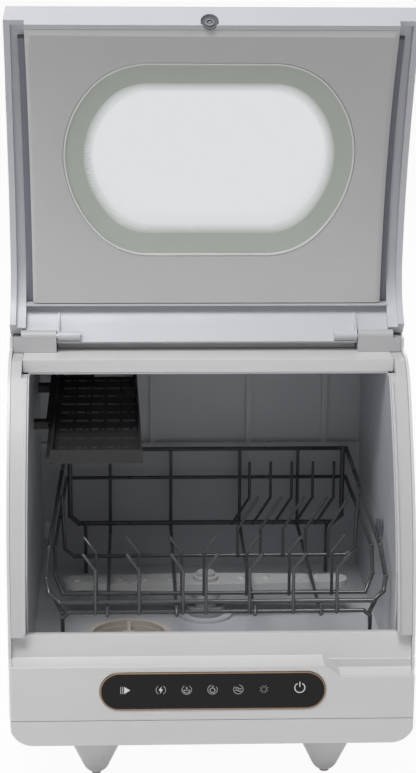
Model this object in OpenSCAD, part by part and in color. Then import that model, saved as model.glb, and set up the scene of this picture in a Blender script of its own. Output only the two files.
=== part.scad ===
// Countertop dishwasher with a flip-up curved lid, lift-out wire rack and
// sliding cutlery tray. Millimetres, Z up, the front faces -Y, the feet stand
// on Z = 0. Each module is one piece, drawn where it sits in the machine. The
// lid is drawn raised, which is the rest pose.

/* [Cabinet] */
// Width of the cabinet at its widest
body_w = 426; // [410:2:440]
// Width of the cabinet at its front face
front_w = 414; // [400:2:424]
// Depth of the cabinet
body_d = 430; // [410:5:460]
// Height of the closed machine
body_h = 446; // [436:2:456]
// Height of the base pan's underside, which is the height of the feet
foot_h = 53; // [50:1:56]
// Height of the seam between the base pan and the cabinet
seam_z = 80; // [74:1:84]
// Thickness of the plastic panels
wall = 3; // [2.5:0.5:4]

/* [Lid] */
// Angle between the closed lid and the raised lid
open_deg = 135; // [120:1:137]
// Radius of the lid's long outer curve
lid_r = 580; // [560:5:620]
// Depth of the lid at its rim
lid_t = 18; // [16:1:19]
// Width of the window
win_w = 307; // [280:1:308]
// Height of the window
win_h = 226; // [210:1:228]

/* [Controls] */
// Width of the touch panel
touch_w = 229; // [200:1:240]
// Height of the touch panel
touch_h = 38; // [30:1:40]
// Height of the fascia's upper edge on the left
step_l = 139; // [135:1:141]
// How much lower the edge is on the right
step_drop = 12.5; // [8:0.5:14]

/* [Inside] */
// Diameter of the rack's main wires
wire = 3.6; // [3:0.2:4]
// Length of the spray arm
arm_len = 318; // [280:2:324]
// Diameter of the filter cup
cup_d = 94; // [84:1:98]
// Width of the cutlery tray
tray_w = 97; // [80:1:100]

/* [Hidden] */
// Running gap between pieces that move past each other
gap = 0.3;
// Gap between two panels that meet
seam = 0.2;

// How far the bezel and the rear spigots stand out, and the depth's middle
proud = 0.8;
spigot = 14;
y_mid = (body_d + spigot - proud) / 2;

// Cabinet half widths, from the front face to the rear
hf = front_w / 2;
hm = body_w / 2;
rear_r = 14;
foot_x = 121;
foot_y = 52;
pan_r = 24;
pan_x = hf + 1.5 - pan_r;
foot_ball = 14.5;

// Side profile: the lid's outer line in depth (y, from the front face) and z.
// It leaves the fascia at B, follows a long curve to Q, then a short one to the
// flat top.
B = [0, step_l];
Q = [115, body_h - 34];
BQ = norm(Q - B);
U = (Q - B) / BQ;
NI = [U[1], -U[0]];
C = (B + Q) / 2 + NI * sqrt(lid_r * lid_r - BQ * BQ / 4);
aB = 180 - atan((B[1] - C[1]) / (C[0] - B[0]));
aQ = 180 - atan((Q[1] - C[1]) / (C[0] - Q[0]));
// Angle past the lid's lower end, which the height end_z cuts
lid_a = aB + 4;
// The short curve is tangent to the long one at Q and to the flat top
top_r = (body_h - Q[1]) / (1 - sin(aQ));
F = C + (lid_r - top_r) * [cos(aQ), sin(aQ)];

hinge_y = F[0] + 16;
hinge_z = body_h - 6;
notch_x = 163;
knuckle_r = 5;
pin_r = 3;
// The lid's full width ends in front of the hinge, and its tail behind it
lid_y1 = hinge_y - 7;
tail_y = hinge_y + 5.5;
block_y = lid_y1 + 0.6;
cover_y = hinge_y + 15.3;
well_z = hinge_z - 1.6;

// Rim of the opening: the lid's line, moved in by the lid's depth
rim_t = lid_t + 0.7;
sill_t = lid_t + 10.2;
sill_z = 162;
rail_y0 = F[0] - 24;
rail_z0 = body_h - 37;
rail_z1 = body_h - 23;

// Tub
tub_x = hm - 23;
tub_back = body_d - 40;
tub_front = 40;
tub_floor = foot_h + 62;
tub_t = 1.5;
hub_y = (tub_back + tub_front) / 2 - 2;
arm_z = 150;
cup_x = -86;
cup_y = hub_y - 63;
cup_z = tub_floor + 3;
sump_r = 62;

// Lid pieces
rim_x = 196;
liner_x = 188.5;
liner_t = lid_t + 9;
end_t = lid_t + 6;
end_z = step_l + gap;
end_h = 6;
bevel = 5.5;
liner_a = aQ - 4.56;
catch_y = 19.4;
catch_x = -3;
seal_z = end_z + 24;
win_a = aQ + 0.43 * (aB - aQ);
// Arcs of the window's ends: the end's depth, its corners, and its wide arc
end_a = 0.4 * win_h;
corner_r = 0.34 * win_h;
end_r = (end_a * end_a + pow(win_h / 2 - corner_r, 2) - corner_r * corner_r) / (2 * (end_a - corner_r));

// Rack, measured from its floor
rack_x = 6;
rack_f = 60;
rack_b = tub_back - 24;
rack_z = 176;
rack_wf = 178;
rack_wb = 166;
rim_zb = rack_z + 90;
rim_zf = rack_z + 11;
rw = wire / 2;
tine_r = 1.4;

// Cutlery tray
tray_x0 = -168;
tray_y0 = tub_back - 287;
tray_l = 280;
tray_z0 = body_h - 121;
tray_tilt = 4.6;
tray_h = 15;
tray_taper = 5.5;

touch_z = seam_z + 32;

// ---------- helpers ----------
module place()
  translate([0, -y_mid, 0])
    children();

// Extrudes a (y, z) outline across the machine
module yz(x0, x1)
  translate([x0, 0, 0])
    rotate([90, 0, 90])
      linear_extrude(x1 - x0)
        children();

// Extrudes an (x, z) outline back from y0
module xz(y0, y1)
  translate([0, y1, 0])
    rotate([90, 0, 0])
      linear_extrude(y1 - y0)
        children();

module raised()
  translate([0, hinge_y, hinge_z])
    rotate([-open_deg, 0, 0])
      translate([0, -hinge_y, -hinge_z])
        children();

module cyl_y(x, z, y0, y1, r)
  translate([x, y0, z])
    rotate([-90, 0, 0])
      cylinder(r = r, h = y1 - y0, $fn = 96);

module cyl_x(x0, x1, y, z, r)
  translate([x0, y, z])
    rotate([0, 90, 0])
      cylinder(r = r, h = x1 - x0, $fn = 96);

module sector(a0, a1)
  polygon([
    [0, 0],
    900 * [cos(a0), sin(a0)],
    1000 * [cos((a0 + a1) / 2), sin((a0 + a1) / 2)],
    900 * [cos(a1), sin(a1)]
  ]);

module annulus(r0, r1)
  difference() {
    circle(r = r1, $fn = 256);
    circle(r = r0, $fn = 256);
  }

// Part of the lid's depth, t0 to t1 in from its outer line, from the angle
// that the long curve starts at to the depth y1 on the flat top
module band(t0, t1, a_end, y1) {
  translate(C)
    intersection() {
      annulus(lid_r - t1, lid_r - t0);
      sector(aQ, a_end);
    }
  translate(F)
    intersection() {
      annulus(top_r - t1, top_r - t0);
      sector(max(90, acos(max(-1, (min(y1, F[0]) - F[0]) / (top_r - t0)))), aQ);
    }
  if (y1 > F[0])
    translate([F[0], body_h - t1])
      square([y1 - F[0], t1 - t0]);
}

// Plan of the cabinet, d in from its outline
function half(y) = y < 60 ? hf + (hm - 1.5 - hf) * (1 - pow(1 - y / 60, 2))
  : y < 200 ? hm - 1.5 + 1.5 * (y - 60) / 140 : hm;

module plan(d = 0)
  polygon(concat(
    [for (y = [0, 12, 24, 40, 60, 200, body_d - rear_r]) [half(y) - d, max(y, d)]],
    [for (a = [30, 60, 90]) [hm - rear_r + (rear_r - d) * cos(a),
      body_d - rear_r + (rear_r - d) * sin(a)]],
    [for (a = [90, 60, 30]) [-(hm - rear_r + (rear_r - d) * cos(a)),
      body_d - rear_r + (rear_r - d) * sin(a)]],
    [for (y = [body_d - rear_r, 200, 60, 40, 24, 12, 0]) [-(half(y) - d), max(y, d)]]
  ));

// The lid's plan: set in from the sides only
module lid_plan(d)
  polygon(concat(
    [for (y = [-1, 12, 24, 40, 60, 200, body_d]) [half(max(y, 0)) - d, y]],
    [for (y = [body_d, 200, 60, 40, 24, 12, -1]) [-(half(max(y, 0)) - d), y]]
  ));

module prism(z0, z1, d = 0)
  translate([0, 0, z0])
    linear_extrude(z1 - z0)
      plan(d);

module stadium(w, h)
  union() {
    square([w - h, h], center = true);
    translate([-(w - h) / 2, 0])
      circle(d = h, $fn = 96);
    translate([(w - h) / 2, 0])
      circle(d = h, $fn = 96);
  }

// A wire through a list of points, with a bead at each bend
module rod(pts, r, bead = 1.12) {
  for (i = [0:len(pts) - 2]) {
    a = pts[i];
    b = pts[i + 1];
    d = b - a;
    l = norm(d);
    translate(a)
      rotate([0, acos(d[2] / l), atan2(d[1], d[0])])
        cylinder(r = r, h = l, $fn = 48);
  }
  for (i = [1:len(pts) - 2])
    translate(pts[i])
      sphere(r = r * bead, $fn = 48);
}

// Outline of the cabinet's side behind the rim, from depth y0 to y1
module side_outline(t, y0, y1, z0, z1)
  difference() {
    translate([y0, z0])
      square([y1 - y0, z1 - z0]);
    band(-160, t, aB, lid_y1 + 0.5);
  }

// Outline of the fascia, d in from its edge, with its lower right step
module fascia_outline(d = 0)
  polygon([
    [-hm, seam_z + seam + d], [hm, seam_z + seam + d], [hm, step_l - step_drop - d],
    [131, step_l - step_drop - d], [114, step_l - d], [-hm, step_l - d]
  ]);

// ---------- cabinet ----------
module pan_end(d)
  xz(-5, body_d + 5)
    union() {
      translate([-hm + d, foot_h + pan_r + d])
        square([2 * (hm - d), 40]);
      translate([-pan_x - pan_r + d, foot_h + pan_r])
        square([2 * (pan_x + pan_r - d), 40]);
      translate([-pan_x, foot_h + d])
        square([2 * pan_x, 40]);
      for (s = [-1, 1])
        translate([s * pan_x, foot_h + pan_r])
          circle(r = pan_r - d, $fn = 96);
    }

module base_pan()
  color("gainsboro")
    place()
      difference() {
        intersection() {
          prism(foot_h, seam_z - seam);
          pan_end(0);
        }
        intersection() {
          prism(foot_h + wall, seam_z + 1, wall);
          pan_end(wall);
        }
      }

module at_feet()
  for (x = [-foot_x, foot_x], y = [foot_y, body_d - foot_y])
    translate([x, y, 0])
      children();

module feet()
  color("silver")
    place()
      at_feet()
        rotate_extrude($fn = 96)
          difference() {
            union() {
              intersection() {
                translate([0, foot_ball + 0.8])
                  circle(r = foot_ball, $fn = 96);
                square([foot_ball + 1, foot_ball]);
              }
              polygon([
                [0, 9], [foot_ball * 0.903, 9], [foot_ball * 0.903 + 0.475 * (foot_h - 9), foot_h],
                [0, foot_h]
              ]);
            }
            translate([-1, -1])
              square([foot_ball + 3, 2.8]);
          }

module foot_pads()
  color("dimgray")
    place()
      at_feet()
        cylinder(r = 5, h = 1.8, $fn = 96);

module fascia()
  color("whitesmoke")
    place()
      difference() {
        intersection() {
          prism(seam_z + seam, step_l);
          xz(-1, 3)
            fascia_outline();
        }
        translate([0, 4, touch_z])
          rotate([90, 0, 0])
            linear_extrude(5)
              stadium(touch_w + 3.4, touch_h + 3.4);
      }

// Recessed band behind the fascia's ledge, and the sill on top of it. The
// catch's steel plate is stuck under the ledge.
module sill()
  color("whitesmoke")
    place()
      intersection() {
        prism(seam_z, sill_z, wall + seam);
        union() {
          yz(-hm, hm)
            difference() {
              side_outline(sill_t, 26, tub_front - 1.7, step_l - step_drop - 8, sill_z);
              translate([35, 0])
                square([20, sill_z - 3]);
            }
          difference() {
            xz(3.2, 31)
              fascia_outline();
            xz(3, 45)
              fascia_outline(2.5);
          }
        }
      }

module latch_strike()
  color("lightsteelblue")
    place()
      translate([catch_x, catch_y, step_l - 4])
        difference() {
          cylinder(r = 6.4, h = 1.5, $fn = 64);
          translate([0, 0, -1])
            cylinder(r = 2, h = 2, $fn = 48);
        }

module on_touch(y0, y1)
  translate([0, y1, touch_z])
    rotate([90, 0, 0])
      linear_extrude(y1 - y0)
        children();

module touch_bezel()
  color("peru")
    place()
      on_touch(-proud, 3)
        difference() {
          stadium(touch_w + 3, touch_h + 3);
          stadium(touch_w, touch_h);
        }

module touch_glass()
  color("black")
    place()
      on_touch(-0.4, 2.2)
        stadium(touch_w - 0.4, touch_h - 0.4);

module control_board()
  color("darkgreen")
    place() {
      on_touch(3.2, 4.8)
        square([touch_w - 10, touch_h - 6], center = true);
      for (x = [-80, -10, 60])
        on_touch(4.8, 7.8)
          translate([x, 0])
            square([22, 14], center = true);
      for (x = [-1, 1])
        on_touch(4.8, 12)
          translate([x * 100, 0])
            square([8, 20], center = true);
    }

// Side panel shell on the left of the machine, with the rear corner
module side_shell()
  difference() {
    intersection() {
      prism(seam_z + seam, body_h - wall - seam);
      union() {
        yz(-hm - 1, -hm + 24)
          side_outline(rim_t, 24, body_d + 1, seam_z, body_h);
        yz(-hm - 1, -hm + 24)
          translate([3.2, seam_z])
            square([21, step_l - step_drop - seam_z]);
        yz(-hm - 1, -hm + 24)
          side_outline(rim_t, 3.2, 25, seam_z, step_l);
      }
    }
    prism(seam_z - 1, body_h + 1, wall);
    translate([-hm - 1, 0, well_z])
      cube([40, cover_y - seam, 30]);
  }

module side_panel_left()
  color("gainsboro")
    place()
      side_shell();

module side_panel_right()
  color("gainsboro")
    place()
      difference() {
        mirror([1, 0, 0])
          side_shell();
        translate([hm - 30, -1, step_l - step_drop])
          cube([40, 19.5, 30]);
      }

// Flange that the lid's rim closes on, with a raised inner lip
module frame_strip()
  intersection() {
    prism(sill_z + seam, body_h, wall + seam);
    union() {
      for (x = [[-tub_x - 8.2, -tub_x - tub_t - seam, rail_z0], [-hm, -tub_x - 8.2, rail_z1]])
        yz(x[0], x[1])
          intersection() {
            band(rim_t, rim_t + 11, 179, block_y - seam);
            translate([0, sill_z + seam])
              square([block_y, x[2] - sill_z - 2 * seam]);
          }
      yz(-tub_x - tub_t - 3, -tub_x - tub_t - seam)
        intersection() {
          band(rim_t - 1.6, rim_t + 11, 179, rail_y0);
          translate([0, sill_z + 4])
            square([rail_y0 - 1, rail_z0 - sill_z - 8]);
        }
    }
  }

module side_frame_left()
  color("white")
    place()
      frame_strip();

module side_frame_right()
  color("white")
    place()
      mirror([1, 0, 0])
        frame_strip();

module rear_panel()
  color("lightgray")
    place()
      difference() {
        translate([-hm + 24 + seam, body_d - wall, seam_z + seam])
          cube([2 * (hm - 24 - seam), wall, body_h - wall - seam - seam_z - seam]);
        for (z = [0:7])
          translate([fan_x - 30, body_d - wall - 1, fan_z - 30 + z * 8])
            cube([60, wall + 2, 3]);
        cyl_y(valve_x, port_z, body_d - 10, body_d + 5, 13.6);
        cyl_y(drain_x, port_z, body_d - 10, body_d + 5, 9.4);
        cyl_y(-valve_x, port_z - 10, body_d - 10, body_d + 5, 8.2);
      }

// Top sheet, with the flange that closes the well behind the lid's tail
module top_cover()
  color("gainsboro")
    place()
      intersection() {
        prism(seam_z, body_h);
        union() {
          translate([-hm, cover_y, body_h - wall])
            cube([2 * hm, body_d, wall]);
          translate([-notch_x + 1, cover_y, rail_z1 + seam])
            cube([2 * notch_x - 2, 2.6, body_h - rail_z1 - 1]);
          for (s = [-1, 1])
            translate([s > 0 ? notch_x - 2 : -hm + wall + seam, cover_y, well_z + seam])
              cube([hm - wall - seam - notch_x + 2, 2.6, body_h - well_z - 1]);
        }
      }

module hinge_blocks()
  color("gainsboro")
    place()
      for (s = [-1, 1])
        difference() {
          union() {
            translate([s > 0 ? notch_x : -hm + wall + 0.5, block_y, rail_z1 + seam])
              cube([hm - wall - 0.5 - notch_x, cover_y - seam - block_y, well_z - rail_z1 - seam]);
            cyl_x(s > 0 ? notch_x : -hm + 12, s > 0 ? hm - 12 : -notch_x, hinge_y, hinge_z, 6.5);
          }
          cyl_x(-hm + 12, hm - 12, hinge_y, hinge_z, pin_r + 0.02);
        }

module hinge_pins()
  color("silver")
    place()
      for (s = [-1, 1])
        cyl_x(s > 0 ? notch_x - 22 : -hm + 12.2, s > 0 ? hm - 12.2 : -notch_x + 22,
          hinge_y, hinge_z, pin_r);

module tub()
  color("darkgray")
    place()
      difference() {
        union() {
          for (s = [-1, 1])
            yz(s > 0 ? tub_x : -tub_x - tub_t, s > 0 ? tub_x + tub_t : -tub_x)
              side_outline(rim_t + 0.2, tub_front - tub_t, tub_back + tub_t,
                tub_floor - tub_t, rail_z0 - seam);
          // back wall, its pressed step and its ribs
          translate([-tub_x, tub_back, tub_floor - tub_t])
            cube([2 * tub_x, tub_t, rail_z0 - seam - tub_floor + tub_t]);
          translate([-tub_x, tub_back - 4, tub_floor - tub_t])
            cube([2 * tub_x, 4.2, 155]);
          for (x = [-147, -57, 57, 147])
            translate([x - 3.5, tub_back - 4, tub_floor + 150])
              cube([7, 4.2, rail_z0 - seam - tub_floor - 150]);
          // roof, front wall and floor
          translate([-tub_x, rail_y0, rail_z0 - seam - tub_t])
            cube([2 * tub_x, tub_back - rail_y0, tub_t]);
          translate([-tub_x, tub_front - tub_t, tub_floor - tub_t])
            cube([2 * tub_x, tub_t, sill_z - tub_floor + tub_t]);
          translate([-tub_x, tub_front - tub_t, tub_floor - tub_t])
            cube([2 * tub_x, tub_back - tub_front + tub_t, tub_t]);
          translate([0, hub_y, tub_floor - tub_t])
            cylinder(r = 30, h = 5, $fn = 96);
        }
        translate([0, hub_y, tub_floor - 5])
          cylinder(r = 12, h = 20, $fn = 64);
        translate([cup_x, cup_y, tub_floor - 5])
          cylinder(r = cup_d / 2 - 4, h = 20, $fn = 96);
      }

module top_rail()
  color("whitesmoke")
    place()
      difference() {
        union() {
          translate([-tub_x - 8, rail_y0, rail_z0])
            cube([2 * tub_x + 16, F[0] - rail_y0 + 34, rail_z1 - rail_z0]);
        }
        translate([-tub_x - 6, rail_y0 + 3, rail_z0 + 3])
          cube([2 * tub_x + 12, F[0] - rail_y0 + 40, rail_z1 - rail_z0 - 6]);
      }

// ---------- works under and behind the tub ----------
module sump()
  color("slategray")
    place()
      difference() {
        union() {
          translate([cup_x, cup_y, tub_floor - 44])
            cylinder(r = cup_d / 2 + 4, h = 44 - tub_t - 0.1, $fn = 96);
          cyl_x(cup_x + cup_d / 2, cup_x + cup_d / 2 + 26, cup_y, tub_floor - 30, 11);
        }
        translate([cup_x, cup_y, tub_floor - 41.5])
          cylinder(r = cup_d / 2 + 1.5, h = 44, $fn = 96);
        cyl_x(cup_x, cup_x + cup_d / 2 + 40, cup_y, tub_floor - 30, 8.5);
      }

// The hoses and the valve, in the space behind the tub
port_z = tub_floor - 5;
port_y = tub_back + 21;
drain_x = 100;
fan_x = -60;
fan_z = body_h - 76;
valve_x = 150;
pump_x = cup_x + cup_d / 2 + 26.2;
pump_z = tub_floor - 30;
drain_z = tub_floor - 33;

module wash_pump()
  color("slategray")
    place() {
      cyl_x(pump_x, pump_x + 26, cup_y, pump_z, 27);
      cyl_x(pump_x + 25, pump_x + 88, cup_y, pump_z, 24);
      cyl_x(pump_x + 87, pump_x + 94, cup_y, pump_z, 10);
      translate([pump_x + 30, cup_y - 20, foot_h + wall])
        cube([50, 40, 12]);
      translate([pump_x + 13, cup_y, pump_z])
        rotate([-90, 0, 0])
          cylinder(r = 9, h = hub_y - cup_y - 30, $fn = 64);
    }

module spray_feed()
  color("lightslategray")
    place()
      difference() {
        union() {
          translate([0, hub_y, tub_floor - 46])
            cylinder(r = 20, h = 46 - tub_t - 0.1, $fn = 96);
          translate([pump_x + 13, hub_y - 29.8, pump_z])
            rotate([-90, 0, 0])
              cylinder(r = 9, h = 30, $fn = 64);
        }
        translate([0, hub_y, tub_floor - 43])
          cylinder(r = 10.5, h = 60, $fn = 64);
      }

module arm_bearing()
  color("gainsboro")
    place()
      translate([0, hub_y, 0])
        difference() {
          union() {
            translate([0, 0, tub_floor + 3.6])
              cylinder(r = 21, h = 8, $fn = 96);
            translate([0, 0, tub_floor + 3.6])
              cylinder(r = 13, h = 20, $fn = 96);
            translate([0, 0, tub_floor + 4])
              cylinder(r = 8, h = arm_z + 8 - tub_floor, $fn = 96);
            translate([0, 0, tub_floor - 14])
              cylinder(r = 10.3, h = 22, $fn = 96);
          }
          translate([0, 0, tub_floor - 20])
            cylinder(r = 5.5, h = 58, $fn = 64);
        }

module heater()
  color("silver")
    place() {
      cyl_y(70, pump_z, 240, 350, 20);
      cyl_y(70, pump_z, 232, 240, 12);
      cyl_y(70, pump_z, 350, 358, 12);
      for (y = [262, 322])
        translate([50, y, foot_h + wall])
          cube([40, 8, 20]);
    }

module drain_pump()
  color("slategray")
    place() {
      cyl_x(-165, -110, 300, drain_z, 20);
      cyl_x(-110, -98, 300, drain_z, 24);
      translate([-155, 284, foot_h + wall])
        cube([44, 32, 10]);
      translate([-104, 300, drain_z])
        rotate([-90, 0, 0])
          cylinder(r = 7, h = 34, $fn = 64);
    }

module drain_hose()
  color("dimgray")
    place() {
      rod([
        [-104, 334.2, drain_z], [-104, port_y, drain_z], [drain_x, port_y, port_z],
        [drain_x, port_y + 12, port_z]
      ], 7);
      cyl_y(drain_x, port_z, port_y + 11, body_d + spigot, 9);
      cyl_y(drain_x, port_z, body_d + 0.1, body_d + 2, 12);
    }

module inlet_valve()
  color("cornflowerblue")
    place() {
      translate([valve_x - 18, port_y - 15, port_z - 18])
        cube([36, 30, 36]);
      cyl_y(valve_x, port_z, port_y + 13, body_d + spigot, 13.2);
      cyl_y(valve_x, port_z, body_d + 0.1, body_d + 2, 16);
      translate([valve_x, port_y, port_z + 18])
        cylinder(r = 10, h = 22, $fn = 64);
    }

module inlet_hose()
  color("lightgray")
    place()
      rod([
        [valve_x, port_y, port_z + 40.2], [valve_x, port_y, port_z + 128],
        [valve_x, port_y - 11, port_z + 140], [valve_x, tub_back + tub_t + 0.2, port_z + 140]
      ], 5);

module power_board()
  color("darkgreen")
    place() {
      translate([100, 60, foot_h + wall])
        cube([80, 110, 4]);
      translate([110, 70, foot_h + wall + 4])
        cube([30, 40, 26]);
      translate([146, 80, foot_h + wall + 4])
        cube([24, 24, 18]);
      for (y = [124, 146])
        translate([125, y, foot_h + wall + 4])
          cylinder(r = 9, h = 22, $fn = 48);
    }

module cable_inlet()
  color("dimgray")
    place() {
      cyl_y(-valve_x, port_z - 10, body_d - 16, body_d + 5, 8);
      cyl_y(-valve_x, port_z - 10, body_d, body_d + 5, 12);
      cyl_y(-valve_x, port_z - 10, body_d - 14, body_d - wall, 11);
    }

module dry_fan()
  color("dimgray")
    place()
      difference() {
        union() {
          translate([fan_x - 35, tub_back + tub_t + 0.1, fan_z - 34])
            cube([70, 20, 70]);
          translate([fan_x - 30, tub_back + tub_t + 20, fan_z - 30])
            cube([60, body_d - wall - 0.2 - tub_back - tub_t - 20, 60]);
        }
        cyl_y(fan_x, fan_z, tub_back + 5, body_d, 27);
        difference() {
          translate([fan_x - 27, tub_back + tub_t + 22, fan_z - 27])
            cube([54, 30, 54]);
          cyl_y(fan_x, fan_z, tub_back, body_d, 12);
        }
      }

module float_switch()
  color("orange")
    place() {
      translate([-60, 250, foot_h + wall])
        cylinder(r = 14, h = 6, $fn = 64);
      translate([-60, 250, foot_h + wall + 6])
        cylinder(r = 5, h = 18, $fn = 48);
    }

// Turns the tray's own frame to where it hangs on the left wall
module at_tray()
  translate([tray_x0, tray_y0, tray_z0])
    rotate([tray_tilt, 0, 0])
      children();

module tray_runners()
  color("dimgray")
    place()
      intersection() {
        at_tray() {
          difference() {
            union() {
              translate([-8.5, tray_l - 165, -3.2])
                cube([7, 187, 8.5]);
              for (y = [tray_l - 165, tray_l - 40])
                translate([-tub_x - tray_x0 - 3, y, -3.2])
                  cube([tub_x + tray_x0 - 4, 12, 8.5]);
            }
            translate([-6.5, 10, -0.3])
              cube([12, tray_l + 40, 3.6]);
          }
          translate([tray_w - 16, tray_l - 150, -6])
            cube([6, 170, 5.7]);
        }
        translate([-tub_x, 0, 0])
          cube([2 * tub_x, tub_back - 4, body_h]);
      }

module panel_screws()
  color("silver")
    place()
      for (x = [-hm + 36, hm - 36], z = [seam_z + 20, body_h - 26])
        cyl_y(x, z, body_d, body_d + 2, 4.5);

// ---------- lid ----------
// The lid's outline, set in by d from the sides
module lid_body(t0, t1, d, y1)
  intersection() {
    translate([0, 0, end_z])
      linear_extrude(body_h)
        lid_plan(d);
    yz(-hm, hm)
      band(t0, t1, lid_a, y1);
  }

// A straight-sided part of the lid, from x0 to x1 and up from the height z0
module lid_run(x0, x1, t0, t1, y1, z0)
  intersection() {
    yz(x0, x1)
      band(t0, t1, lid_a, y1);
    translate([-hm, -20, z0])
      cube([2 * hm, body_d, body_h]);
  }

// Part of the long curve between two angles, carried on under the short one
module long_run(x, t1, a0, a1, z0)
  intersection() {
    yz(-x, x)
      translate(C)
        intersection() {
          annulus(lid_r - t1, lid_r - 1);
          sector(a0, a1);
        }
    translate([-hm, -20, z0])
      cube([2 * hm, body_d, body_h]);
  }

// Outline of the window, d in from its edge: wide arcs at the ends, tighter
// arcs in the corners, and flats above and below
module window_shape(d)
  union() {
    cx = win_w / 2 - end_r;
    kx = win_w / 2 - end_a;
    kz = win_h / 2 - corner_r;
    square([2 * kx, win_h - 2 * d], center = true);
    for (x = [-1, 1]) {
      for (z = [-1, 1])
        translate([x * kx, z * kz])
          circle(r = corner_r - d, $fn = 96);
      translate([x * cx, 0])
        intersection() {
          circle(r = end_r - d, $fn = 128);
          polygon([[0, 0], x * 4 * [kx - cx, -kz * x], x * 4 * [kx - cx, kz * x]]);
        }
    }
  }

// Straight cut through the lid on the window's axis
module lid_window(d)
  translate([0, C[0], C[1]])
    rotate([win_a, 0, 0])
      translate([0, lid_r - 60, 0])
        rotate([-90, 0, 0])
          linear_extrude(120)
            window_shape(d);

// Arched seat of the catch, d in from its edge
module catch_seat(d, z0, h)
  translate([catch_x, catch_y - 1, z0])
    linear_extrude(h)
      union() {
        circle(r = 9 - d, $fn = 96);
        translate([-9 + d, 0])
          square([18 - 2 * d, end_t - catch_y - d]);
      }

module lid_shell()
  color("whitesmoke")
    place()
      raised()
        difference() {
          union() {
            difference() {
              lid_body(0, lid_t, 0, lid_y1);
              lid_run(-rim_x, rim_x, wall, lid_t + 5, lid_y1 + 9, seal_z);
              lid_run(-liner_x, liner_x, wall, lid_t + 5, lid_y1 + 9, end_z + end_h);
              intersection() {
                lid_body(12, lid_t + 5, 6.5, lid_y1 + 9);
                translate([-hm, -20, end_z + end_h])
                  cube([2 * hm, body_d, body_h]);
              }
            }
            // deeper end wall that stands on the ledge
            intersection() {
              lid_run(-liner_x, liner_x, wall, end_t, 60, end_z);
              translate([-hm, -20, end_z])
                cube([2 * hm, body_d, end_h]);
            }
            // end walls beside the notch
            for (s = [-1, 1])
              intersection() {
                lid_body(0.5, 7, 0.5, lid_y1);
                translate([s > 0 ? notch_x + 0.8 : -hm, lid_y1 - 2.5, 0])
                  cube([hm - notch_x - 0.8, 10, body_h + 1]);
              }
            // cross rib under the liner's lower edge
            intersection() {
              lid_run(-rim_x - 0.5, rim_x + 0.5, wall - 0.5, 60, lid_y1, end_z);
              long_run(rim_x + 0.5, liner_t + 0.4, liner_a - 0.35, liner_a - 0.1, end_z);
            }
            // tail and its knuckles
            translate([-notch_x + 0.8, lid_y1 - 2, body_h - wall])
              cube([2 * notch_x - 1.6, tail_y - lid_y1 + 2, wall]);
            for (s = [-1, 1]) {
              cyl_x(s > 0 ? notch_x - 26 : -notch_x + 1, s > 0 ? notch_x - 1 : -notch_x + 26,
                hinge_y, hinge_z, knuckle_r);
              yz(s > 0 ? notch_x - 3.3 : -notch_x + 1, s > 0 ? notch_x - 1 : -notch_x + 3.3)
                polygon([
                  [hinge_y - 36, body_h - 4.5], [hinge_y - 4, hinge_z - 4.4],
                  [hinge_y + 2.5, hinge_z - 4.3], [tail_y - 0.5, body_h - wall],
                  [tail_y - 0.5, body_h - 1], [hinge_y - 24, body_h - 1.5]
                ]);
            }
          }
          cyl_x(-notch_x - 5, notch_x + 5, hinge_y, hinge_z, pin_r + 0.05);
          lid_window(8);
          catch_seat(0, end_z - 1, 4.6);
        }

module lid_liner()
  color("gainsboro")
    place()
      raised()
        difference() {
          intersection() {
            lid_run(-liner_x, liner_x, wall + 0.1, 60, lid_y1, end_z);
            long_run(liner_x, liner_t, liner_a, lid_a, end_z + end_h + gap);
          }
          intersection() {
            lid_run(-liner_x, liner_x, wall, 60, lid_y1, end_z);
            long_run(liner_x - 2.5, liner_t - 2.5, liner_a + 0.3, lid_a, end_z + end_h + gap + 2.5);
          }
          // bevels on the sides and at the free end
          for (s = [0, 1])
            mirror([s, 0, 0])
              translate([0, C[0], C[1]])
                rotate([90, 0, 90])
                  rotate([0, 0, liner_a - 3])
                    rotate_extrude(angle = 42, $fn = 256)
                      polygon([
                        [lid_r - liner_t - 0.6, liner_x - bevel * 1.2],
                        [lid_r - end_t + 0.4, liner_x + bevel * 0.1333],
                        [lid_r - liner_t - 0.6, liner_x + bevel * 0.1333]
                      ]);
          yz(-hm, hm)
            polygon([
              on_curve(end_t, end_z + end_h), on_curve(liner_t, end_z + end_h + gap + bevel),
              on_curve(liner_t + 10, end_z + end_h + gap + bevel), on_curve(liner_t + 10, end_z)
            ]);
          lid_window(0);
        }

// Point on the long curve, t in from it, at the height z
function on_curve(t, z) = [C[0] - sqrt(pow(lid_r - t, 2) - pow(z - C[1], 2)), z];

module window_pane(t0, t1, d)
  intersection() {
    lid_body(t0, t1, 0, lid_y1 - 30);
    lid_window(d);
  }

module window_glass()
  color("lightblue")
    place()
      raised()
        window_pane(liner_t - 4.5, liner_t - 1, 0.5);

module window_outer()
  color("lightblue")
    place()
      raised()
        window_pane(0.2, wall - 0.2, 8.2);

module window_seal()
  color("dimgray")
    place()
      raised()
        difference() {
          window_pane(wall + 0.05, liner_t - 4.55, 2.5);
          window_pane(wall - 1, liner_t, 7.8);
        }

module window_trim()
  color("white")
    place()
      raised()
        difference() {
          window_pane(liner_t - 0.95, liner_t + 0.5, 0.5);
          window_pane(liner_t - 2, liner_t + 2, 2.6);
        }

module lid_seal()
  color("dimgray")
    place()
      raised()
        for (s = [-1, 1])
          intersection() {
            lid_run(s > 0 ? liner_x + 0.4 : -rim_x + 0.4, s > 0 ? rim_x - 0.4 : -liner_x - 0.4,
              wall + 0.05, 60, lid_y1, seal_z + 0.5);
            long_run(rim_x, rim_t - 1.8, liner_a + 0.1, lid_a, end_z);
          }

module latch_catch()
  color("darkgray")
    place()
      raised()
        catch_seat(0.2, end_z + 2.3, 1.2);

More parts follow.
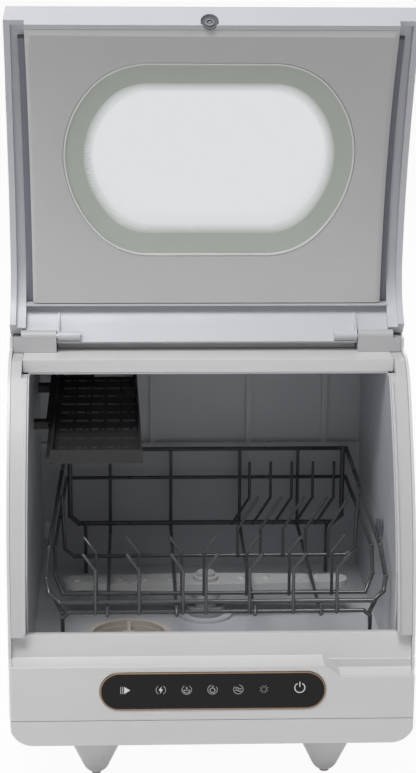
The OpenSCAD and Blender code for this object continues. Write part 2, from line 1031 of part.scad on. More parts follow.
module catch_screw()
  color("silver")
    place()
      raised()
        translate([catch_x, catch_y, end_z + 0.7]) {
          difference() {
            cylinder(r = 4.6, h = 1.55, $fn = 64);
            translate([0, 0, -1])
              cylinder(r = 3.1, h = 5, $fn = 64);
          }
          translate([0, 0, 0.5])
            cylinder(r = 1.8, h = 1.05, $fn = 48);
        }

// ---------- spray arm ----------
module spray_arm()
  color("aliceblue")
    place()
      translate([0, hub_y, arm_z])
        difference() {
          union() {
            linear_extrude(8)
              union() {
                polygon([
                  [-arm_len / 2 + 15, -13], [-26, -19], [26, -19], [arm_len / 2 - 15, -13],
                  [arm_len / 2 - 15, 13], [26, 19], [-26, 19], [-arm_len / 2 + 15, 13]
                ]);
                for (s = [-1, 1])
                  translate([s * (arm_len / 2 - 15), 0])
                    circle(r = 15, $fn = 96);
              }
            translate([0, 0, -12])
              cylinder(r = 17, h = 14, $fn = 96);
            for (x = [40, 68, 96, 124, 144], s = [-1, 1])
              translate([s * x, s * 4, 7])
                cylinder(r1 = 4.5, r2 = 3, h = 3.4, $fn = 48);
          }
          translate([0, 0, -20])
            cylinder(r = 8.05, h = 40, $fn = 96);
          translate([0, 0, -13])
            cylinder(r = 13.6, h = 4, $fn = 96);
          for (x = [40, 68, 96, 124, 144], s = [-1, 1])
            translate([s * x, s * 4, 4])
              cylinder(r = 1.4, h = 10, $fn = 32);
        }

module arm_cap()
  color("white")
    place()
      translate([0, hub_y, arm_z + 8.3])
        difference() {
          union() {
            cylinder(r = 14, h = 4, $fn = 96);
            translate([0, 0, 3])
              cylinder(r = 10, h = 5, $fn = 96);
          }
          translate([0, 0, -1])
            cylinder(r = 8.02, h = 5, $fn = 96);
          translate([-12, -1.5, 5.5])
            cube([24, 3, 5]);
        }

// ---------- rack ----------
module at_rack()
  place()
    translate([rack_x, 0, 0])
      children();

function side_w(y) = rack_wf + (rack_wb - rack_wf) * (y - rack_f) / (rack_b - rack_f);

long_x = [-114, -42, 40, 109];

// A closed loop of wire
module loop(pts, r) {
  rod(pts, r);
  rod([pts[len(pts) - 1], pts[0]], r);
  for (p = [pts[0], pts[len(pts) - 1]])
    translate(p)
      sphere(r = r * 1.12, $fn = 48);
}

function flip(pts) = [for (i = [len(pts) - 1:-1:0]) [-pts[i][0], pts[i][1], pts[i][2]]];

// The welded wires lie against each other, a hair apart
rim_r = rw + 0.3;
post_r = rw + 0.7;
long_r = rw - 0.2;
weld = 0.05;
post_y = rack_b - rim_r - post_r - weld;
post_x = rack_wb - rim_r - post_r - weld;
ring_y = post_y + post_r + rw + weld;
ring_x = post_x + post_r + rw + weld;
back_y = rack_b + rim_r + long_r + weld;
under_z = rack_z - rw - long_r - weld;

rim_side = [
  [rack_wb, rack_b, rim_zb], [side_w(300), 300, rim_zb - 9], [side_w(110), 110, rack_z + 55],
  [rack_wf, 72, rack_z + 33], [rack_wf - 3, 64, rack_z + 20], [rack_wf - 14, rack_f, rim_zf]
];
ring_side = [
  [ring_x, ring_y, rack_z + 55], [172, 150, rack_z + 41], [171, 126, rack_z + 18],
  [162, 116, rack_z]
];

module rack_rim()
  color("dimgray")
    at_rack() {
      loop(concat(rim_side, flip(rim_side)), rim_r);
      loop(concat(ring_side, flip(ring_side)), rw);
    }

// Cross wires, turned up at the back as corner posts and down at the front as legs
module rack_cross()
  color("dimgray")
    at_rack() {
      rod([
        [-post_x, post_y, rim_zb + 1], [-post_x, post_y, rack_z + 9],
        [-post_x + 10, post_y, rack_z], [post_x - 10, post_y, rack_z],
        [post_x, post_y, rack_z + 9], [post_x, post_y, rim_zb + 1]
      ], post_r);
      rod([
        [-side_w(241) + 4, 241, rim_zb - 19], [-164, 241, rack_z + 9], [-154, 241, rack_z],
        [154, 241, rack_z], [164, 241, rack_z + 9], [side_w(241) - 4, 241, rim_zb - 19]
      ], rw);
      rod([
        [-161, rack_f, tub_floor + 0.3], [-161, rack_f, rack_z - 6], [-154, rack_f, rack_z],
        [154, rack_f, rack_z], [161, rack_f, rack_z - 6], [161, rack_f, tub_floor + 0.3]
      ], rw);
    }

// Rear legs, and the stays between the front legs and the rim
module rack_legs()
  color("dimgray")
    at_rack()
      for (s = [-1, 1]) {
        rod([
          [s * (post_x - 18), post_y - post_r - rw - weld, rack_z + 2],
          [s * (post_x - 18), post_y - post_r - rw - weld, tub_floor + 0.3]
        ], rw);
        rod([
          [s * 161, rack_f + 2 * rw + weld, rack_z - 14],
          [s * 161, rack_f + 2 * rw + weld, rack_z - 2], [s * 170, rack_f + 7.4, rim_zf + 3]
        ], rw);
      }

// Long wires, down the back, along under the floor and up over the front
module rack_long()
  color("dimgray")
    at_rack()
      for (x = long_x)
        rod([
          [x, back_y, rim_zb + 1], [x, back_y, rack_z], [x, back_y - 6, under_z - 0.8],
          [x, rack_b - 16, under_z], [x, rack_f - 1, under_z], [x, rack_f - 9, rack_z + 0.5],
          [x, rack_f - 6, rack_z + 8]
        ], long_r);

tine_x = [-126.6, -81.2, -35.6, -11.6, 34, 79.6, 125.2];

module rack_tines()
  color("gray")
    at_rack() {
      for (y = [rack_f, 116], i = [0:6]) {
        s = i < 3 ? -1 : 1;
        rod([
          [tine_x[i], y - rw - tine_r - weld, rack_z - 1.5], [tine_x[i], y - rw - tine_r - weld, rack_z + 47],
          [tine_x[i] + s * 13, y - rw - tine_r - weld, rack_z + 65]
        ], tine_r);
      }
    }

module rack_plate_tines()
  color("gray")
    at_rack()
      for (i = [0:4]) {
        rod([
          [30 + i * 25, post_y - post_r - tine_r - weld, rack_z - 1.5], [51 + i * 25, post_y - post_r - tine_r - weld, rack_z + 32],
          [51 + i * 25, post_y - post_r - tine_r - weld, rack_z + 76]
        ], tine_r);
        rod([
          [31 + i * 25.6, 241 - rw - tine_r - weld, rack_z - 1.5], [31 + i * 25.6, 241 - rw - tine_r - weld, rack_z + 32],
          [54 + i * 25.6, 241 - rw - tine_r - weld, rack_z + 70]
        ], tine_r);
      }

module rack_rollers()
  color("dimgray")
    at_rack()
      for (s = [-1, 1])
        translate([s * (side_w(150) + rw + 0.3 + 2.6), 150, rim_zb - 28])
          cube([5, 9, 18], center = true);

// ---------- cutlery tray ----------
module tray_plan(d)
  polygon([
    [d, d], [tray_w - d, d], [tray_w - tray_taper - d, tray_l - d], [d, tray_l - d]
  ]);

module cutlery_tray()
  color("dimgray")
    place()
      at_tray()
        difference() {
          union() {
            linear_extrude(2.4)
              tray_plan(0);
            difference() {
              linear_extrude(tray_h - 3)
                tray_plan(0);
              translate([0, 0, -1])
                linear_extrude(tray_h)
                  tray_plan(2.4);
            }
            cube([tray_w, 2.4, tray_h]);
            translate([0, tray_l - 2.4, 0])
              cube([tray_w - tray_taper, 2.4, tray_h]);
            translate([-4.8, 12, 0.2])
              cube([6, tray_l - 12, 2.6]);
          }
          // rows of slots, long ones and short ones in turn
          for (j = [0:8], i = [0:4])
            if (j % 2 == 1)
              translate([7.5 + i * 17, 40 + j * 28, -1])
                cube([13.8, 6.5, 5]);
            else {
              translate([7.5 + i * 17, 40 + j * 28, -1])
                cube([8.6, 6.5, 5]);
              translate([18.6 + i * 17, 40 + j * 28, -1])
                cube([3, 6.5, 5]);
            }
          // windows in the rear wall
          translate([6, tray_l - 5, 5.2])
            cube([32, 10, 3]);
          translate([42, tray_l - 5, 3])
            cube([45, 10, 6.5]);
        }

// ---------- filter ----------
module filter_cup()
  color("tan")
    place()
      translate([cup_x, cup_y, 0])
        difference() {
          union() {
            translate([0, 0, tub_floor + 0.02])
              cylinder(r = cup_d / 2, h = 3, $fn = 96);
            translate([0, 0, tub_floor - 34])
              cylinder(r = cup_d / 2 - 4.3, h = 35, $fn = 96);
          }
          difference() {
            translate([0, 0, tub_floor - 32])
              cylinder(r = cup_d / 2 - 7, h = 60, $fn = 96);
            translate([-2, -cup_d, tub_floor - 34])
              cube([4, 2 * cup_d, 36]);
            translate([0, 0, tub_floor - 34])
              cylinder(r = 9, h = 37, $fn = 64);
          }
          for (a = [0:30:330])
            rotate([0, 0, a + 15])
              translate([cup_d / 2 - 8, -4, tub_floor - 29])
                cube([8, 8, 24]);
        }

module filter_mesh()
  color("silver")
    place()
      translate([cup_x, cup_y, tub_floor - 31])
        difference() {
          cylinder(r = cup_d / 2 - 7.2, h = 28, $fn = 96);
          translate([0, 0, -1])
            cylinder(r = cup_d / 2 - 8, h = 40, $fn = 96);
          translate([-2.2, -cup_d, -1])
            cube([4.4, 2 * cup_d, 40]);
        }

base_pan();
feet();
foot_pads();
fascia();
sill();
touch_bezel();
touch_glass();
control_board();
side_panel_left();
side_panel_right();
side_frame_left();
side_frame_right();
rear_panel();
top_cover();
hinge_blocks();
hinge_pins();
tub();
top_rail();
latch_strike();
sump();
wash_pump();
spray_feed();
arm_bearing();
heater();
drain_pump();
drain_hose();
inlet_valve();
inlet_hose();
power_board();
cable_inlet();
dry_fan();
float_switch();
tray_runners();
panel_screws();
lid_shell();
lid_liner();
window_glass();
window_outer();
window_trim();
window_seal();
lid_seal();
latch_catch();
catch_screw();
spray_arm();
arm_cap();
rack_rim();
rack_cross();
rack_legs();
rack_long();
rack_tines();
rack_plate_tines();
rack_rollers();
cutlery_tray();
filter_cup();
filter_mesh();
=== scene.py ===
import math

import bmesh
import bpy
from mathutils import Matrix, Vector


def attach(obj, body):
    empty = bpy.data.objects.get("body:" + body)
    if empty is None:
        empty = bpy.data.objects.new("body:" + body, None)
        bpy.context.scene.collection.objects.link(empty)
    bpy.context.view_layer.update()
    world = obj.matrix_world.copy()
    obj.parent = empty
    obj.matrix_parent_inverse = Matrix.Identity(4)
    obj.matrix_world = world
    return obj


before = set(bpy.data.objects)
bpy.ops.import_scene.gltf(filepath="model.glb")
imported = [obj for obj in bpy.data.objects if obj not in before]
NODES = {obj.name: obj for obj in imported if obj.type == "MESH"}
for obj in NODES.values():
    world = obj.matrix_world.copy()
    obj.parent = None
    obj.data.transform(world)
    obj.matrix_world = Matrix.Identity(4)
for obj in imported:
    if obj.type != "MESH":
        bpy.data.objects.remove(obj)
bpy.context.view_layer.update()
MM = 0.001

# Sizes shared with the solids, in millimetres. Depths count from the front face.
Y_MID = 221.6  # depth that lies at Y = 0
HINGE = (200.16, 440.0)  # depth and height of the lid's hinge
OPEN = math.radians(-135)  # turn from the closed lid to the raised one
LID_R = 580.0  # radius of the lid's long curve
ARC = (574.3, 57.8)  # depth and height of that curve's centre
WIN_A = math.radians(155.085)  # place of the window's middle on that curve
WIN_W, WIN_H = 307.0, 226.0
END_A, CORNER_R = 0.4 * WIN_H, 0.34 * WIN_H
END_R = (END_A**2 + (WIN_H / 2 - CORNER_R) ** 2 - CORNER_R**2) / (2 * (END_A - CORNER_R))
PANE_T = 26.0  # depth of the window pane's inner face below the lid's outer line
TOUCH_Z = 112.0  # height of the touch panel's middle

# Camera: place in metres, turn in degrees, focal length in frame heights
CAM_AT = (-0.0829, -1.9032 - Y_MID * MM, 0.9094)
CAM_PITCH, CAM_YAW, CAM_ROLL = 14.03, 2.28, 0.353
FOCAL_LENGTH = 1993.0 / 773.0
SENSOR = 36.0
FAR = 100.0

# Surfaces: scale and depth of the slow waviness, and depth of the fine grain
WAVE_SCALE, WAVE_STRENGTH, WAVE_DEPTH = 7.0, 0.10, 0.002
GRAIN_DEPTH = 0.00008
BRUSH_DEPTH = 0.00005

# Edges, in millimetres and degrees
WELD = 0.004
SHARP = 35
COATING = 0.35
EDGES = {
    "base_pan": 0.8, "fascia": 0.7, "sill": 0.8, "side_panel_left": 0.7, "side_panel_right": 0.7,
    "side_frame_left": 0.5, "side_frame_right": 0.5, "top_cover": 0.7, "hinge_blocks": 0.6,
    "top_rail": 1.0, "lid_shell": 0.9, "lid_liner": 0.8, "window_trim": 0.35,
    "cutlery_tray": 0.3, "touch_bezel": 0.3,
}
COATED = ("rack_rim", "rack_cross", "rack_legs", "rack_long", "rack_tines", "rack_plate_tines")

# Print on the window, in millimetres: how far in its outer edge lies, the width
# of the opaque band at the ends and along the long sides, and its two faces
FRIT_EDGE = 2.7
FRIT_X, FRIT_Z = 22.0, 25.5
FRIT_T = (PANE_T + 0.02, PANE_T + 0.14)
# Dots: rows, radius and its loss per row, first row, row pitch, pitch in a row
DOT_ROWS, DOT_SIDES = 7, 6
DOT_R, DOT_LOSS = 0.80, 0.075
DOT_START, DOT_ROW, DOT_PITCH = 0.75, 1.3, 1.75
DOT_T = PANE_T + 0.08

# Icons, in millimetres: their plane, their height, the ring round each, and line widths
ICON_Y = -Y_MID - 0.46
ICON_Z = TOUCH_Z + 1.6
RING_R, RING_W, RING_TURN = 4.9, 0.6, 300
LINE_W, RAY_W = 0.8, 0.55
POWER_X, POWER_Z = 89.0, TOUCH_Z + 2.8
POWER_R, POWER_W = 5.2, 1.1

# Stage, in metres, and how bright it is to the camera and as a light
FLOOR_R, FLOOR_DROP = 40.0, 0.0004
FLOOR_GREY, FLOOR_GLOW = 0.86, 0.95
SKY_COLOR, SKY_POWER = (0.98, 0.99, 1.0, 1), 0.24
WHITE = (1, 1, 1, 1)


# ---------- camera ----------
def make_camera():
    pitch, yaw, roll = (math.radians(a) for a in (CAM_PITCH, CAM_YAW, CAM_ROLL))
    fwd = Vector(
        (math.sin(yaw) * math.cos(pitch), math.cos(yaw) * math.cos(pitch), -math.sin(pitch))
    )
    right = Vector((math.cos(yaw), -math.sin(yaw), 0))
    up = right.cross(fwd)
    x = right * math.cos(roll) + up * math.sin(roll)
    y = up * math.cos(roll) - right * math.sin(roll)
    data = bpy.data.cameras.new("camera")
    data.sensor_width = SENSOR
    data.lens = FOCAL_LENGTH * SENSOR
    data.clip_end = FAR
    cam = bpy.data.objects.new("camera", data)
    bpy.context.scene.collection.objects.link(cam)
    m = Matrix((x, y, -fwd)).transposed().to_4x4()
    m.translation = Vector(CAM_AT)
    cam.matrix_world = m
    bpy.context.scene.camera = cam


make_camera()
view = bpy.context.scene.view_settings
view.view_transform = "Standard"


# ---------- materials ----------
def srgb(r, g, b):
    def lin(c):
        c /= 255
        return c / 12.92 if c <= 0.04045 else ((c + 0.055) / 1.055) ** 2.4

    return (lin(r), lin(g), lin(b), 1.0)


def grey(v):
    return (v, v, v, 1)


class Mat:
    """A Principled material with the noise that breaks up its colour, gloss and surface."""

    SOCKETS = {
        "color": "Base Color", "rough": "Roughness", "metal": "Metallic", "ior": "IOR",
        "trans": "Transmission Weight", "coat": "Coat Weight", "coat_rough": "Coat Roughness",
        "sss": "Subsurface Weight", "sss_scale": "Subsurface Scale", "spec": "Specular IOR Level",
    }

    def __init__(self, name):
        self.m = bpy.data.materials.new(name)
        self.m.use_nodes = True
        self.t = self.m.node_tree
        self.t.nodes.clear()
        out = self.t.nodes.new("ShaderNodeOutputMaterial")
        self.b = self.t.nodes.new("ShaderNodeBsdfPrincipled")
        self.t.links.new(self.b.outputs[0], out.inputs[0])
        self.co = self.t.nodes.new("ShaderNodeTexCoord").outputs["Object"]
        self.normal = None

    def set(self, **values):
        for k, v in values.items():
            self.b.inputs[self.SOCKETS[k]].default_value = v
        return self

    def stretch(self, scale):
        node = self.t.nodes.new("ShaderNodeMapping")
        self.t.links.new(self.co, node.inputs["Vector"])
        node.inputs["Scale"].default_value = scale
        return node.outputs[0]

    def noise(self, scale, detail, vector=None):
        n = self.t.nodes.new("ShaderNodeTexNoise")
        n.inputs["Scale"].default_value = scale
        n.inputs["Detail"].default_value = detail
        self.t.links.new(vector or self.co, n.inputs["Vector"])
        return n.outputs["Fac"]

    def ramp(self, value, lo, hi, a, b):
        r = self.t.nodes.new("ShaderNodeValToRGB")
        r.color_ramp.elements[0].position = lo
        r.color_ramp.elements[1].position = hi
        r.color_ramp.elements[0].color = a
        r.color_ramp.elements[1].color = b
        self.t.links.new(value, r.inputs[0])
        return r.outputs[0]

    def tint(self, base, amount, scale, detail=1.5, vector=None):
        lo = tuple(c * (1 - amount) for c in base[:3]) + (1,)
        hi = tuple(min(1, c * (1 + amount)) for c in base[:3]) + (1,)
        out = self.ramp(self.noise(scale, detail, vector), 0.2, 0.8, lo, hi)
        self.t.links.new(out, self.b.inputs["Base Color"])
        return self

    def gloss(self, lo, hi, scale, detail=5.0, vector=None):
        out = self.ramp(self.noise(scale, detail, vector), 0.3, 0.7, grey(lo), grey(hi))
        self.t.links.new(out, self.b.inputs["Roughness"])
        return self

    def bump(self, strength, distance, scale, detail=2.0, vector=None):
        n = self.t.nodes.new("ShaderNodeBump")
        n.inputs["Strength"].default_value = strength
        n.inputs["Distance"].default_value = distance
        self.t.links.new(self.noise(scale, detail, vector), n.inputs["Height"])
        if self.normal is not None:
            self.t.links.new(self.normal, n.inputs["Normal"])
        self.normal = n.outputs[0]
        self.t.links.new(self.normal, self.b.inputs["Normal"])
        return self


def plastic(name, color, rough, tint=0.018, grain=0.12, grain_scale=1700, **more):
    m = Mat(name).set(color=color, rough=rough, **more)
    m.tint(color, tint, 9.0)
    m.gloss(rough - 0.05, rough + 0.05, 26.0)
    m.bump(WAVE_STRENGTH, WAVE_DEPTH, WAVE_SCALE, 1.0)
    m.bump(grain, GRAIN_DEPTH, grain_scale)
    return m.m


def brushed(name, color, rough, stretch):
    """Metal with fine lines across the axis that is stretched most."""
    m = Mat(name).set(color=color, rough=rough, metal=1.0)
    lines = m.stretch(stretch)
    m.tint(color, 0.05, 5.0, 3.0, lines)
    m.gloss(rough - 0.07, rough + 0.07, 40.0, 4.0, lines)
    m.bump(0.25, BRUSH_DEPTH, 60.0, 3.0, lines)
    return m.m


def printed(name, color, tint, scale, **more):
    """Ink of one colour."""
    return Mat(name).set(color=color, **more).tint(color, tint, scale)


def make_materials():
    s = {}
    s["shell"] = plastic("shell", srgb(221, 220, 220), 0.36, coat=0.12, coat_rough=0.2)
    s["shell_dark"] = plastic("shell_dark", srgb(214, 212, 212), 0.44)
    s["liner"] = plastic("liner", srgb(196, 195, 195), 0.42, tint=0.012)
    s["steel"] = plastic("tub_plastic", srgb(194, 195, 199), 0.34, tint=0.008, grain=0.05)
    s["wire"] = plastic(
        "coated_wire", srgb(66, 68, 71), 0.30, grain=0.2, grain_scale=900, coat=0.6, coat_rough=0.2
    )
    s["tray"] = plastic("tray_plastic", srgb(40, 39, 38), 0.5, grain=0.35, grain_scale=1300)
    s["bronze"] = brushed("bronze_trim", srgb(158, 134, 112), 0.34, (1, 30, 1))
    s["rubber"] = plastic("seal_rubber", srgb(122, 123, 134), 0.6, grain=0.3, grain_scale=1100)
    s["arm"] = plastic("arm_plastic", srgb(186, 187, 187), 0.3, sss=0.1, sss_scale=0.004)
    s["filter"] = plastic("filter_plastic", srgb(206, 199, 190), 0.5, tint=0.02)
    s["works"] = plastic("works_plastic", srgb(92, 95, 100), 0.5, grain=0.3)
    s["board"] = plastic("circuit_board", srgb(32, 92, 58), 0.4, tint=0.12)
    s["metal"] = brushed("plated_steel", srgb(196, 197, 198), 0.28, (1, 1, 26))
    s["blue"] = plastic("valve_plastic", srgb(60, 104, 168), 0.4)
    clear = Mat("window_glass")
    s["glass"] = clear.set(color=srgb(239, 240, 241), rough=0.0, trans=1.0, ior=1.46).m
    black = printed("touch_glass", srgb(16, 15, 15), 0.1, 20.0, rough=0.2, spec=0.25)
    s["black"] = black.gloss(0.16, 0.24, 40.0).m
    return s


SLOTS = make_materials()


def dress_nodes():
    """Give each node its material, from its own list or from its slot's name."""
    pad_color = srgb(178, 175, 176)
    special = {
        "foot_pads": plastic("pad_rubber", pad_color, 0.6, grain=0.3, grain_scale=1100),
        "filter_mesh": SLOTS["filter"],
        "arm_bearing": plastic("bearing_plastic", srgb(150, 152, 154), 0.4),
        # Lid shell: the shell's white plastic made darker, with painted shade, and a little bluer,
        # a painted cast of sky light.
        "lid_shell": plastic("lid_plastic_painted_shade", srgb(200, 201, 205), 0.38),
        # Side frames, left and right: the shell's plastic made darker, with painted shade.
        "side_frame_left": plastic("frame_plastic_painted_shade", srgb(202, 201, 202), 0.42),
        # Hinge blocks: the shell's plastic made darker, with painted shade on their front faces.
        "hinge_blocks": plastic("hinge_plastic_painted_shade", srgb(190, 190, 191), 0.4),
    }
    special["side_frame_right"] = special["side_frame_left"]
    for name, o in NODES.items():
        o.data.materials[0] = special.get(name) or SLOTS[o.data.materials[0].name]


dress_nodes()


# ---------- edges ----------
def weld(o):
    o.modifiers.new("weld", "WELD").merge_threshold = WELD * MM


def soften(o, width):
    """Round the sharp edges by that width, in millimetres."""
    weld(o)
    bev = o.modifiers.new("bevel", "BEVEL")
    bev.width = width * MM
    bev.segments = 2
    bev.limit_method = "ANGLE"
    bev.angle_limit = math.radians(SHARP)
    bev.use_clamp_overlap = True
    bev.harden_normals = False
    o.modifiers.new("normals", "WEIGHTED_NORMAL").keep_sharp = False


def fatten(o, amount):
    """Push the surface out by that amount, in millimetres."""
    weld(o)
    swell = o.modifiers.new("coat", "DISPLACE")
    swell.strength = amount * MM
    swell.mid_level = 0.0


for node_name, edge in EDGES.items():
    soften(NODES[node_name], edge)
for node_name in COATED:
    fatten(NODES[node_name], COATING)


# ---------- new pieces ----------
def piece(name, bm, material, body, smooth=True):
    mesh = bpy.data.meshes.new(name)
    bm.normal_update()
    bm.to_mesh(mesh)
    bm.free()
    o = bpy.data.objects.new(name, mesh)
    bpy.context.scene.collection.objects.link(o)
    mesh.materials.append(material)
    if smooth:
        mesh.shade_smooth()
        o.modifiers.new("split", "EDGE_SPLIT").split_angle = math.radians(SHARP)
    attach(o, body)


# ---------- print on the window ----------
def lid_point(x, v, t):
    """Point on the raised lid: x across, v from the window's middle, t in from the outer line."""
    r = LID_R - t
    rho = math.sqrt(r * r - v * v)
    y = ARC[0] + rho * math.cos(WIN_A) + v * math.sin(WIN_A)
    z = ARC[1] + rho * math.sin(WIN_A) - v * math.cos(WIN_A)
    dy, dz = y - HINGE[0], z - HINGE[1]
    ry = dy * math.cos(OPEN) - dz * math.sin(OPEN) + HINGE[0]
    rz = dy * math.sin(OPEN) + dz * math.cos(OPEN) + HINGE[1]
    return Vector((x, ry - Y_MID, rz)) * MM


def window_outline(d, n=16):
    """The window's outline, d in from its edge: wide arcs at the ends, tighter ones in corners."""
    side, corner = END_R - d, CORNER_R - d
    cx, kx, kz = WIN_W / 2 - END_R, WIN_W / 2 - END_A, WIN_H / 2 - CORNER_R
    turn = math.atan2(kz, kx - cx)
    quarter = [
        (cx + side * math.cos(turn * i / n), side * math.sin(turn * i / n)) for i in range(n)
    ]
    for i in range(n + 1):
        a = turn + (math.pi / 2 - turn) * i / n
        quarter.append((kx + corner * math.cos(a), kz + corner * math.sin(a)))
    left = [(-x, y) for x, y in reversed(quarter)]
    upper = quarter + left
    return upper[:-1] + [(x, -y) for x, y in reversed(upper)][:-1]


def clear_outline(d):
    """Outline of the clear middle, which is flatter than the window: d in from its edge."""
    sx = (WIN_W - 2 * FRIT_X - 2 * d) / (WIN_W - 2 * FRIT_X)
    sy = (WIN_H - 2 * FRIT_Z - 2 * d) / (WIN_H - 2 * FRIT_X)
    return [(x * sx, v * sy) for x, v in window_outline(FRIT_X)]


def along(pts, pitch, shift):
    """Points spaced evenly round a closed outline."""
    total = sum(math.dist(pts[i], pts[(i + 1) % len(pts)]) for i in range(len(pts)))
    count = round(total / pitch)
    step = total / count
    walk, i, done, out = shift * step, 0, 0.0, []
    while len(out) < count:
        a, b = pts[i % len(pts)], pts[(i + 1) % len(pts)]
        side = math.dist(a, b)
        if done + side >= walk and side > 0:
            f = (walk - done) / side
            out.append((a[0] + (b[0] - a[0]) * f, a[1] + (b[1] - a[1]) * f))
            walk += step
        else:
            done += side
            i += 1
    return out


def make_band():
    """The opaque band: a closed ring between the window's outline and the clear middle."""
    bm = bmesh.new()
    outer, inner = window_outline(FRIT_EDGE), clear_outline(0)
    lo, hi = FRIT_T
    rings = [
        [bm.verts.new(lid_point(x, v, t)) for x, v in pts]
        for pts, t in ((outer, lo), (outer, hi), (inner, hi), (inner, lo))
    ]
    n = len(outer)
    for a, b in zip(rings, rings[1:] + rings[:1]):
        for i in range(n):
            j = (i + 1) % n
            bm.faces.new((a[i], a[j], b[j], b[i]))
    bmesh.ops.recalc_face_normals(bm, faces=bm.faces)
    return bm


def make_dots():
    """Rows of dots that shrink towards the clear middle."""
    bm = bmesh.new()
    turns = [math.tau * k / DOT_SIDES for k in range(DOT_SIDES)]
    for row in range(DOT_ROWS):
        r = DOT_R - DOT_LOSS * row
        outline = clear_outline(DOT_START + row * DOT_ROW)
        for x, v in along(outline, DOT_PITCH, (row % 2) / 2):
            ring = [(x + r * math.cos(q), v + r * math.sin(q)) for q in turns]
            bm.faces.new([bm.verts.new(lid_point(px, pv, DOT_T)) for px, pv in ring])
    return bm


def make_frit():
    color = srgb(178, 186, 175)
    ink = printed("frit", color, 0.012, 40.0, rough=0.3, coat=0.5, coat_rough=0.1)
    ink.gloss(0.29, 0.32, 90.0, 2.0)
    piece("window_frit", make_band(), ink.m, "lid")
    piece("window_dots", make_dots(), ink.m, "lid", smooth=False)


make_frit()


# ---------- icons on the touch panel ----------
def stroke(bm, pts, width, close=False):
    """A flat line of that width through (x, z) points on the touch glass."""
    n = len(pts)
    left, right = [], []
    for i, p in enumerate(pts):
        a = pts[i - 1] if (i > 0 or close) else p
        b = pts[(i + 1) % n] if (i < n - 1 or close) else p
        d = Vector((b[0] - a[0], b[1] - a[1])).normalized()
        nx, nz = -d.y * width / 2, d.x * width / 2
        left.append(bm.verts.new(Vector((p[0] + nx, ICON_Y, p[1] + nz)) * MM))
        right.append(bm.verts.new(Vector((p[0] - nx, ICON_Y, p[1] - nz)) * MM))
    for i in range(n if close else n - 1):
        j = (i + 1) % n
        bm.faces.new((left[i], right[i], right[j], left[j]))


def fill(bm, pts):
    bm.faces.new([bm.verts.new(Vector((x, ICON_Y, z)) * MM) for x, z in pts])


def arc(cx, cz, r, a0, a1, n=24):
    turns = [math.radians(a0 + (a1 - a0) * i / n) for i in range(n + 1)]
    return [(cx + r * math.cos(a), cz + r * math.sin(a)) for a in turns]


def open_ring(bm, x, z, start):
    stroke(bm, arc(x, z, RING_R, start, start + RING_TURN), RING_W)


def start_icon(bright, soft, x, z):
    """Start and pause: a triangle behind two bars."""
    fill(bright, [(x, z - 4.0), (x + 6.4, z), (x, z + 4.0)])
    for left in (x - 3.9, x - 1.9):
        right = left + 0.9
        fill(soft, [(left, z - 3.9), (right, z - 3.9), (right, z + 3.9), (left, z + 3.9)])


def quick_icon(bright, soft, x, z):
    """Quick program: a bolt between two arcs."""
    for a in (-60, 120):
        stroke(soft, arc(x, z, RING_R, a, a + 120), RING_W)
    bolt = [(0.9, 4.2), (-2.3, -0.6), (-0.3, -0.6), (-0.9, -4.2), (2.3, 0.7), (0.3, 0.7)]
    fill(bright, [(x + dx, z + dz) for dx, dz in bolt])


def wash_icon(bright, soft, x, z):
    """General wash: a bowl with a drop over it."""
    open_ring(soft, x, z, 120)
    stroke(soft, arc(x, z - 0.4, 3.2, 180, 360), LINE_W)
    stroke(soft, [(x - 3.6, z - 0.4), (x + 3.6, z - 0.4)], LINE_W)
    fill(soft, [(x, z + 3.6), (x - 1.1, z + 1.7), (x, z + 0.9), (x + 1.1, z + 1.7)])


def fruit_icon(bright, soft, x, z):
    """Fruit: a round one with a leaf."""
    open_ring(soft, x, z, 100)
    stroke(soft, arc(x, z - 0.7, 2.5, 0, 352), LINE_W, close=True)
    stroke(soft, arc(x + 1.6, z + 2.2, 1.7, 90, 200), LINE_W)


def dry_icon(bright, soft, x, z):
    """Drying: two waves in a ring."""
    open_ring(soft, x, z, 140)
    n = 20
    for dz in (-1.5, 1.2):
        wave = [(-3.2 + 6.4 * i / n, dz + 0.8 * math.sin(math.tau * i / n)) for i in range(n + 1)]
        stroke(soft, [(x + wx, z + wz) for wx, wz in wave], LINE_W)


def rinse_icon(bright, soft, x, z):
    """Hot rinse: a star of rays."""
    for k in range(8):
        a = math.tau * k / 8 + 0.39
        ends = [(x + r * math.cos(a), z + r * math.sin(a)) for r in (2.0, 4.6)]
        stroke(soft, ends, RAY_W)


ICONS = {
    start_icon: -91.0, quick_icon: -53.5, wash_icon: -27.0,
    fruit_icon: -0.6, dry_icon: 25.9, rinse_icon: 52.2,
}


def make_icons():
    """The icons from left to right, as printed on the glass, and the power sign."""
    ink = printed("icon_ink", srgb(226, 226, 224), 0.04, 60.0, rough=0.35)
    dim = printed("icon_ink_dim", srgb(186, 186, 186), 0.05, 60.0, rough=0.35)
    bright, soft = bmesh.new(), bmesh.new()
    for draw, x in ICONS.items():
        draw(bright, soft, x, ICON_Z)
    stroke(bright, arc(POWER_X, POWER_Z, POWER_R, 118, 422, 40), POWER_W)
    stroke(bright, [(POWER_X, POWER_Z + 0.8), (POWER_X, POWER_Z + 6.6)], POWER_W)
    for bm in (bright, soft):
        bmesh.ops.recalc_face_normals(bm, faces=bm.faces)
    piece("icons_bright", bright, ink.m, "cabinet", smooth=False)
    piece("icons_soft", soft, dim.m, "cabinet", smooth=False)


make_icons()


# ---------- floor, backdrop and light ----------
def shader(t, kind, color, strength=None):
    node = t.nodes.new("ShaderNode" + kind)
    node.inputs["Color"].default_value = color
    if strength is not None:
        node.inputs["Strength"].default_value = strength
    return node.outputs[0]


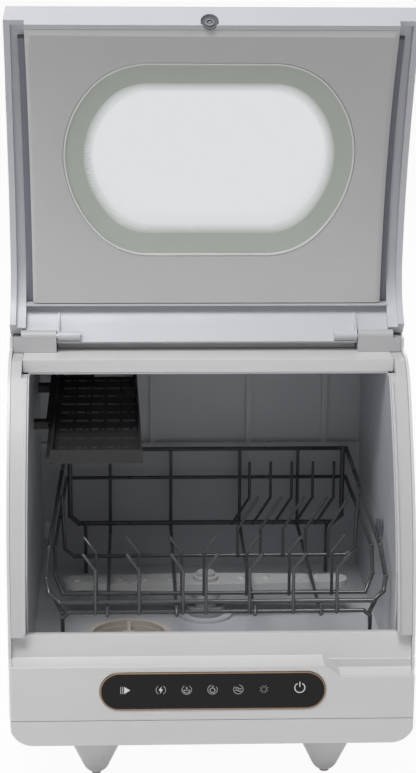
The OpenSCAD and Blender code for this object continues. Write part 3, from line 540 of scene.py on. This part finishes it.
def rays(t, *kinds):
    """Output that is 1 for those kinds of ray and 0 for the rest."""
    path = t.nodes.new("ShaderNodeLightPath")
    value = path.outputs[kinds[0]]
    for kind in kinds[1:]:
        add = t.nodes.new("ShaderNodeMath")
        add.operation = "ADD"
        add.use_clamp = True
        t.links.new(value, add.inputs[0])
        t.links.new(path.outputs[kind], add.inputs[1])
        value = add.outputs[0]
    return value


def times(t, value, factor):
    scale = t.nodes.new("ShaderNodeMath")
    scale.operation = "MULTIPLY"
    scale.inputs[1].default_value = factor
    t.links.new(value, scale.inputs[0])
    return scale.outputs[0]


def blend(t, kind, share, first, second):
    """Send a mix of two shaders to a new output of that kind: the second takes the share."""
    mix = t.nodes.new("ShaderNodeMixShader")
    out = t.nodes.new("ShaderNodeOutput" + kind)
    for i, source in enumerate((share, first, second)):
        t.links.new(source, mix.inputs[i])
    t.links.new(mix.outputs[0], out.inputs[0])


def make_floor():
    """A floor that is near white to the camera and plain grey to the light on the object."""
    bm = bmesh.new()
    bmesh.ops.create_circle(bm, cap_ends=True, segments=96, radius=FLOOR_R)
    mesh = bpy.data.meshes.new("floor")
    bm.to_mesh(mesh)
    bm.free()
    floor = bpy.data.objects.new("floor", mesh)
    floor.location.z = -FLOOR_DROP
    bpy.context.scene.collection.objects.link(floor)
    m = bpy.data.materials.new("floor")
    m.use_nodes = True
    t = m.node_tree
    t.nodes.clear()
    seen = rays(t, "Is Camera Ray", "Is Glossy Ray", "Is Transmission Ray")
    plain = shader(t, "BsdfDiffuse", grey(FLOOR_GREY))
    blend(t, "Material", times(t, seen, FLOOR_GLOW), plain, shader(t, "Emission", WHITE, 1.0))
    mesh.materials.append(m)


def make_world():
    """White behind the object, and a dimmer light from all round."""
    world = bpy.data.worlds.new("world")
    bpy.context.scene.world = world
    world.use_nodes = True
    t = world.node_tree
    t.nodes.clear()
    seen = rays(t, "Is Camera Ray", "Is Transmission Ray")
    sky = shader(t, "Background", SKY_COLOR, SKY_POWER)
    blend(t, "World", seen, sky, shader(t, "Background", WHITE, 1.0))


def area(name, at, look, size, power, color=(1, 1, 1)):
    """A rectangular lamp at a point, turned to look at another; metres and watts."""
    data = bpy.data.lights.new(name, "AREA")
    data.shape = "RECTANGLE"
    data.size, data.size_y = size
    data.energy = power
    data.color = color
    o = bpy.data.objects.new(name, data)
    bpy.context.scene.collection.objects.link(o)
    o.location = at
    o.rotation_euler = (Vector(look) - Vector(at)).to_track_quat("-Z", "Y").to_euler()
    o.visible_camera = False


make_floor()
make_world()
area("key", (-0.6, -1.35, 2.9), (0, -0.1, 0.4), (1.5, 1.1), 58, (0.99, 0.995, 1.0))
area("left", (-2.6, -0.9, 1.2), (0.1, -0.1, 0.5), (1.2, 1.6), 11)
area("back", (0.9, 2.8, 1.9), (0, 0.1, 0.3), (1.8, 1.2), 22)
